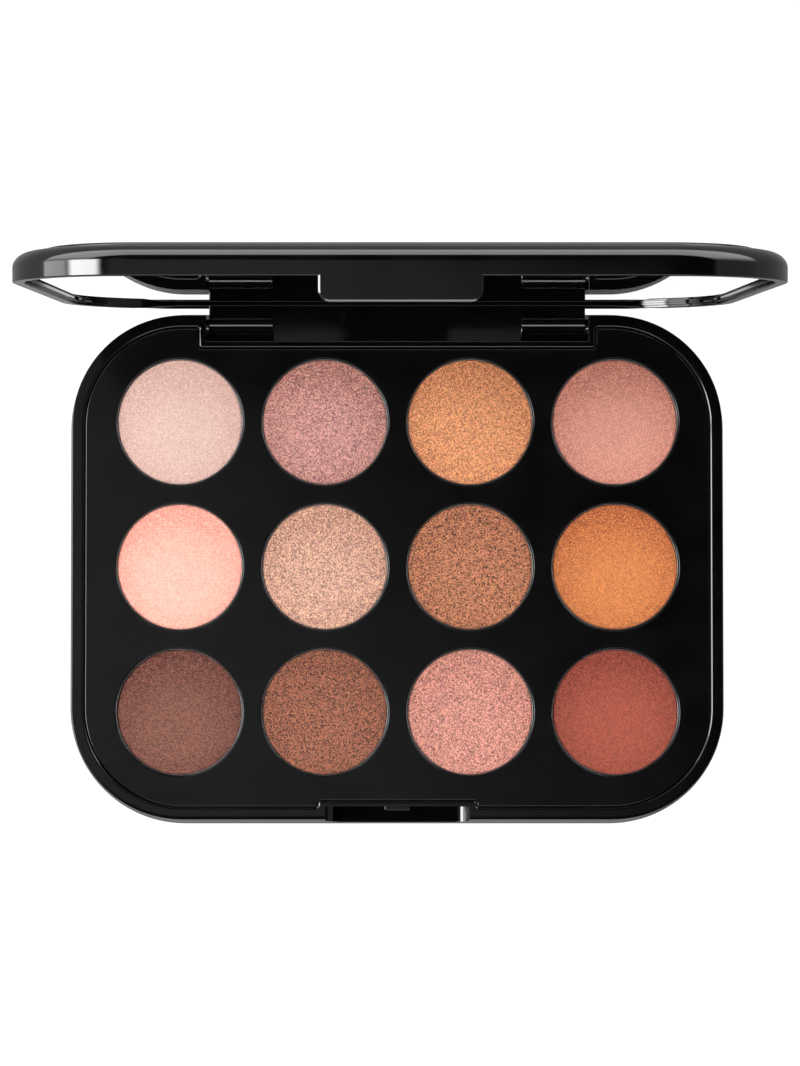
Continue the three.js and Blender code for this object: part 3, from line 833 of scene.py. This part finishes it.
# %% The twelve shades
# Each shade: print, depth of print in mm, colour, depth of colour and painted shade at the rim,
# grain in mm, contrast and shimmer.
shades = {
    "r1c1": (fine_grain, 0.003, (185, 155, 145), 0.15, 0.16, 0.08, 0.0),  # petal
    "r1c2": (flakes, 0.006, (145, 100, 100), 0.30, 0.15, 0.40, 0.4),      # mauve
    "r1c3": (flakes, 0.006, (170, 110, 80), 0.25, 0.15, 0.35, 0.4),       # straw gold
    "r1c4": (fine_grain, 0.005, (175, 120, 105), 0.30, 0.16, 0.12, 0.0),  # dusty rose
    "r2c1": (linen, 0.025, (225, 155, 140), 0.20, 0.16, 0.10, 0.0),       # cream
    "r2c2": (flakes, 0.006, (155, 115, 105), 0.20, 0.15, 0.40, 0.4),      # champagne
    "r2c3": (flakes, 0.008, (105, 65, 50), 0.20, 0.15, 0.80, 0.5),        # bronze
    "r2c4": (diagonal, 0.020, (165, 100, 55), 0.40, 0.16, 0.15, 0.0),     # amber
    "r3c1": (diagonal, 0.020, (95, 60, 50), 0.50, 0.16, 0.25, 0.0),       # cocoa
    "r3c2": (flakes, 0.007, (85, 50, 40), 0.25, 0.15, 0.80, 0.4),         # copper
    "r3c3": (flakes, 0.006, (145, 95, 90), 0.15, 0.15, 0.45, 0.4),        # rose gold
    "r3c4": (twill, 0.025, (125, 60, 45), 0.45, 0.16, 0.15, 0.0),         # brick
}
for number, (tag, centre) in enumerate(centres.items()):
    print_of, depth, pale, rim_depth_and_shade, grain, contrast, shimmer = shades[tag]
    count = 200 if print_of in (linen, twill, diagonal) else 150
    powder = cake(f"powder_{tag}_cake", centre, print_of, depth, 100 + number, count)
    powder.data.polygons.foreach_set("use_smooth", np.ones(len(powder.data.polygons), bool))
    # Painted shade: the rim colour is the shade's colour deepened, partly for denser powder.
    deep_and_shaded = deepened_and_shaded(pale, rim_depth_and_shade)
    material = powder_finish(f"powder_{tag}", centre, pale, deep_and_shaded, grain, contrast, shimmer)
    settle(powder, f"powder_{tag}", material)

# %% [markdown]
# ## Pads, pins and label
# The adhesive pads under the pans and behind the mirror are plain flat sheets, and the model
# already has their right shape, so those nodes stay and only get the foam finish. The pins and
# the label are seen, so they are made again with their rounded ends and corners.

# %% Foam on the carried-over pads
for node in [*(f"pan_pad_{tag}" for tag in tags), "mirror_pad"]:
    pad = frame["nodes"][node]
    pad.data.materials.clear()
    pad.data.materials.append(foam_sheet)
print("foam on", len(tags) + 1, "pads")

# %% Hinge pins
for node in ("hinge_pin_left", "hinge_pin_right"):
    low, high = box_of(node)
    pin_radius = (high - low)[2] / 2
    ends = [*quarter((low[0], -0.15), (low[0] + 0.15, 0), bulge="second"),
            *quarter((high[0] - 0.15, 0), (high[0], -0.15))]
    pin = new_object(f"{node}_rod", [lathe([(pin_radius + grow, x) for x, grow in ends],
                                           hinge_point[1:], 48, "x")])
    finish_shading(pin)
    settle(pin, node, pin_steel)

# %% Label
label_levels = [(label_low[2], 0), *quarter((label_high[2] - 0.04, 0), (label_high[2], -0.04), 3)]
label = new_object("base_label_sheet", [
    stack(rectangle(*label_half, centre=(0, label_centre_y)), [2.0] * 4, label_levels),
])
label_paper = label_print("printed_label", *label_half, label_centre_y, 2.0)
finish_shading(label)
settle(label, "base_label", label_paper)

# %% [markdown]
# ## The lid
# The lid is worked out shut, where all of it is level, and swung open about the hinge axis at
# the end. Its outside is the palette's outline again, with a wide elliptical round. The rim,
# the stepped recess for the mirror and the pocket for the cover panel are cut out, then the
# opening tab and the hinge block with its two round knuckles are joined on.

# %% Sizes of the lid
panel_inset = half_width - panel_high[0]
mirror_inset = half_width - mirror_high[0]
lid_top = panel_high[2] - 0.6
lid_rim_band, lid_step = 1.9, 0.45
recess_inset = lid_rim_band + 0.9
recess_top = mirror_pad_high[2] + 0.3
pocket_floor = panel_low[2] - 0.3
round_width, round_height = 3.2, 2.6
print("lid top", round(lid_top, 2), "mirror inset", round(mirror_inset, 2))


def opening_below(bottom, flare=0.15):
    """First levels of a cutter that opens a face from below and rounds over its edge."""
    return [(bottom - overrun, flare), *quarter((bottom, flare), (bottom + flare, 0), bulge="second")]


def open_up(piece):
    """Swings a piece that was worked out shut round the hinge axis to the resting position."""
    mesh = piece.data
    points = np.empty(len(mesh.vertices) * 3)
    mesh.vertices.foreach_get("co", points)
    opened = turned_about_hinge(points.reshape(-1, 3) / MM, open_angle) * MM
    mesh.vertices.foreach_set("co", opened.ravel())
    mesh.update()


def palette_stack(inset, levels, steps=fine):
    """The palette's own outline, set in, carried through levels."""
    return stack(rectangle(half_width - inset, half_depth - inset), [corner_radius - inset] * 4,
                 levels, steps=steps)


# %% Lid shell
lid_levels = [*quarter((parting, -0.2), (parting + 0.2, 0), bulge="second"),
              *quarter((lid_top - round_height, 0), (lid_top, -round_width), 14)]
lid_shell = new_object("lid_shell_moulding", [palette_stack(0, lid_levels)])
combine(lid_shell, "DIFFERENCE", [
    palette_stack(lid_rim_band, [*opening_below(parting), (parting + lid_step, 0)]),
    palette_stack(panel_inset - 0.35, flared(pocket_floor, lid_top, 0.2)),
])
combine(lid_shell, "DIFFERENCE", [
    palette_stack(recess_inset, [*opening_below(parting + lid_step, 0.1), (recess_top, 0)]),
])
swing_radius = np.hypot(knuckle_radius, rim_top - hinge_point[2]) + 0.1
relief_tip = np.radians(60)    # how far round the corner the hollow for the swing runs out
relief_end = half_width - corner_radius * (1 - np.cos(relief_tip))
relief = [(0.1, hinge_block_half), (swing_radius, hinge_block_half),
          (swing_radius, half_width - corner_radius + 1.0), (parting - hinge_point[2], relief_end),
          (0.1, relief_end)]
combine(lid_shell, "DIFFERENCE", [
    lathe([(radius, side * x) for radius, x in relief][::side], hinge_point[1:], 96, "x")
    for side in (-1, 1)
])

# %% Lid tab and hinge block
tab_round, block_round = 0.3, 0.18
bevel_wide, bevel_deep = 0.3, 0.14    # the sloped edge round the tab's outer face
tab_tongue = [(parting - tab_drop, -tab_half), (parting + 1.0, -tab_half),
              (parting + 1.0, tab_half), (parting - tab_drop, tab_half)]
tab_front, tab_back = -half_depth, tab_thickness - half_depth
tab_levels = [(tab_front, -bevel_wide), (tab_front + bevel_deep, 0),
              *quarter((tab_back - tab_round, 0), (tab_back, -tab_round))]
bead_top = rim_top - 1.0
bead_corners = rectangle(2.0, 0.7, centre=(0, lip_tip - 0.8))
bead_levels = [*quarter((bead_top - 0.8, -0.25), (bead_top - 0.55, 0), bulge="second"),
               *quarter((bead_top - 0.25, 0), (bead_top, -0.25))]
block_section = [(hinge_point[1] - 0.5, hinge_point[2] - knuckle_radius),
                 (hinge_point[1] + knuckle_radius, hinge_point[2] - knuckle_radius),
                 (hinge_point[1] + knuckle_radius, parting + lid_step),
                 (hinge_point[1] - 0.5, parting + lid_step)]


def rounded_ends(start, end, size):
    """Levels from start to end with both ends rounded over."""
    return [*quarter((start, -size), (start + size, 0), bulge="second"),
            *quarter((end - size, 0), (end, -size))]


combine(lid_shell, "UNION", [stack(tab_tongue, [tab_corner, 0.1, 0.1, tab_corner], tab_levels, "y")])
combine(lid_shell, "UNION", [stack(bead_corners, [0.4] * 4, bead_levels)])
combine(lid_shell, "UNION", [
    stack(block_section, [0.3, knuckle_radius - 0.02, 0.05, 0.05],
          rounded_ends(-hinge_block_half, hinge_block_half, block_round), "x"),
])
knuckle_inner = hinge_block_half - 12.3
knuckles = [
    rounded_ends(*sorted((side * knuckle_inner, side * hinge_block_half)), 0.25) for side in (-1, 1)
]
combine(lid_shell, "UNION", [
    lathe([(knuckle_radius + grow, x) for x, grow in levels], hinge_point[1:], 72, "x")
    for levels in knuckles
])
bore_start, bore_radius = hinge_block_half - 10.88, 0.88
lid_bore = [(0.05, bore_start), (bore_radius, bore_start), (bore_radius, hinge_block_half + 1),
            (0.05, hinge_block_half + 1)]
combine(lid_shell, "DIFFERENCE", [
    lathe([(radius, side * x) for radius, x in lid_bore][::side], hinge_point[1:], 48, "x")
    for side in (-1, 1)
])
open_up(lid_shell)
finish_shading(lid_shell, 24.0)
settle(lid_shell, "lid_shell", gloss_black)

# %% [markdown]
# ## Cover panel and mirror
# Both are plates with the palette's outline. The panel stands a little proud of the lid with
# a soft rounded edge, and the mirror's face has the narrow ground bevel of a cut glass.

# %% Lid panel and mirror
panel_levels = [(panel_low[2], 0), *quarter((panel_high[2] - 0.5, 0), (panel_high[2], -0.8), 8)]
panel = new_object("lid_panel_cover", [palette_stack(panel_inset, panel_levels)])
mirror_levels = [(mirror_low[2], -0.35), (mirror_low[2] + 0.2, 0), (mirror_high[2], 0)]
mirror = new_object("mirror_plate", [palette_stack(mirror_inset, mirror_levels)])
for piece, node, material in ((panel, "lid_panel", panel_black), (mirror, "mirror", mirror_glass)):
    open_up(piece)
    finish_shading(piece, 20.0)
    settle(piece, node, material)

# %% [markdown]
# ## Studio light
# Gloss black shows nothing but what stands round it, so the light is designed as a picture of
# the room. Low down it is bright behind, softer at both sides, and dark in front. Overhead it
# is dark, apart from a grey card that fades towards the back right and ends in front. Two
# soft boxes on the left and a wide, thin one in front draw the bright lines on the edges.

# %% The room as a world shader
world = bpy.data.worlds.new("studio_room")
world.use_nodes = True
bpy.context.scene.world = world
room = Nodes(world.node_tree)
direction = room.node("ShaderNodeTexCoord", output="Generated")
right, back, up = room.parts(direction)


def soft_box(heading, height, half_wide, half_high, glow):
    """A soft-edged rectangle of light. heading is the compass angle from +X towards +Y and
    height the angle above the floor, both in degrees, as are the half sizes."""
    a, e = np.radians(heading), np.radians(height)
    forward = (np.cos(e) * np.cos(a), np.cos(e) * np.sin(a), np.sin(e))
    side = (-np.sin(a), np.cos(a), 0)
    above = (-np.sin(e) * np.cos(a), -np.sin(e) * np.sin(a), np.cos(e))
    ahead, across, upward = [
        right * axis[0] + back * axis[1] + up * axis[2] for axis in (forward, side, above)
    ]
    wide, high = np.sin(np.radians(half_wide)), np.sin(np.radians(half_high))
    window = (1 - across.size().rise(wide * 0.5, wide)) * (1 - upward.size().rise(high * 0.6, high))
    return window * ahead.rise(0.0, 0.1) * glow


low_down = 1 - up.rise(0.66, 0.72)
sides = (1 - right.rise(-0.5, -0.1)) * 0.75 + right.rise(0.1, 0.5) * 0.3
sweep = low_down * (sides + back.rise(0.1, 0.6) * 4.5 + 0.04)
card = (1 - (right + back).rise(-0.08, 0.13)) * back.rise(-0.11, -0.085) * up.rise(0.86, 0.93) * 0.36
boxes = [
    soft_box(180, 42, 17, 17, 22.0),
    soft_box(180, 12, 17, 16, 5.0),
    soft_box(270, 40, 30, 9, 5.5),
]
glow = sweep + card
for box in boxes:
    glow = glow + box
room.feed(room.tree.nodes["Background"].inputs["Strength"], glow)
room.feed(room.tree.nodes["Background"].inputs["Color"], (1, 1, 1, 1))
bpy.context.scene.view_settings.view_transform = "Standard"
print("soft boxes:", len(boxes))

# %% [markdown]
# ## Shooting table
# The table glows, so that it stays an even white behind the palette and in the mirror. A
# studio also hides it from the black plastic with dark flags. Here the table itself does
# that: it looks dark to a soft reflection, and stays white to the camera and to the mirror,
# whose reflection is perfectly sharp. It is a little lighter along the front.

# %% White shooting table
table_half, table_gap = 12000.0, 0.05
table_finish = Finish("white_table", Roughness=0.8, Emission_Strength=1.0)
mottle = table_finish.noise(table_finish.place(), 200.0)
is_glossy = table_finish.node("ShaderNodeLightPath", output="Is Glossy Ray")
is_mirrored = table_finish.node("ShaderNodeLightPath", output="Is Singular Ray")
in_front = table_finish.parts(table_finish.place())[1].rise(-half_depth - 2, -half_depth)
softly_seen = is_glossy * (1 - is_mirrored)
white, grey, dark_grey = [(level, level, level, 1) for level in (0.95, 0.12, 0.04)]
dim = table_finish.mix(in_front, grey, dark_grey)
table_finish.set(
    Base_Color=table_finish.mix(mottle, colour(90, 90, 90), colour(96, 96, 96)),
    Emission_Color=table_finish.mix(softly_seen, white, dim),
)
table_corners = np.c_[rectangle(table_half, table_half), np.full(4, -table_gap)] * MM
table_mesh = bpy.data.meshes.new("table")
table_mesh.from_pydata(table_corners.tolist(), [], [(0, 1, 2, 3)])
table = bpy.data.objects.new("table", table_mesh)
table.data.materials.append(table_finish.material)
bpy.context.scene.collection.objects.link(table)
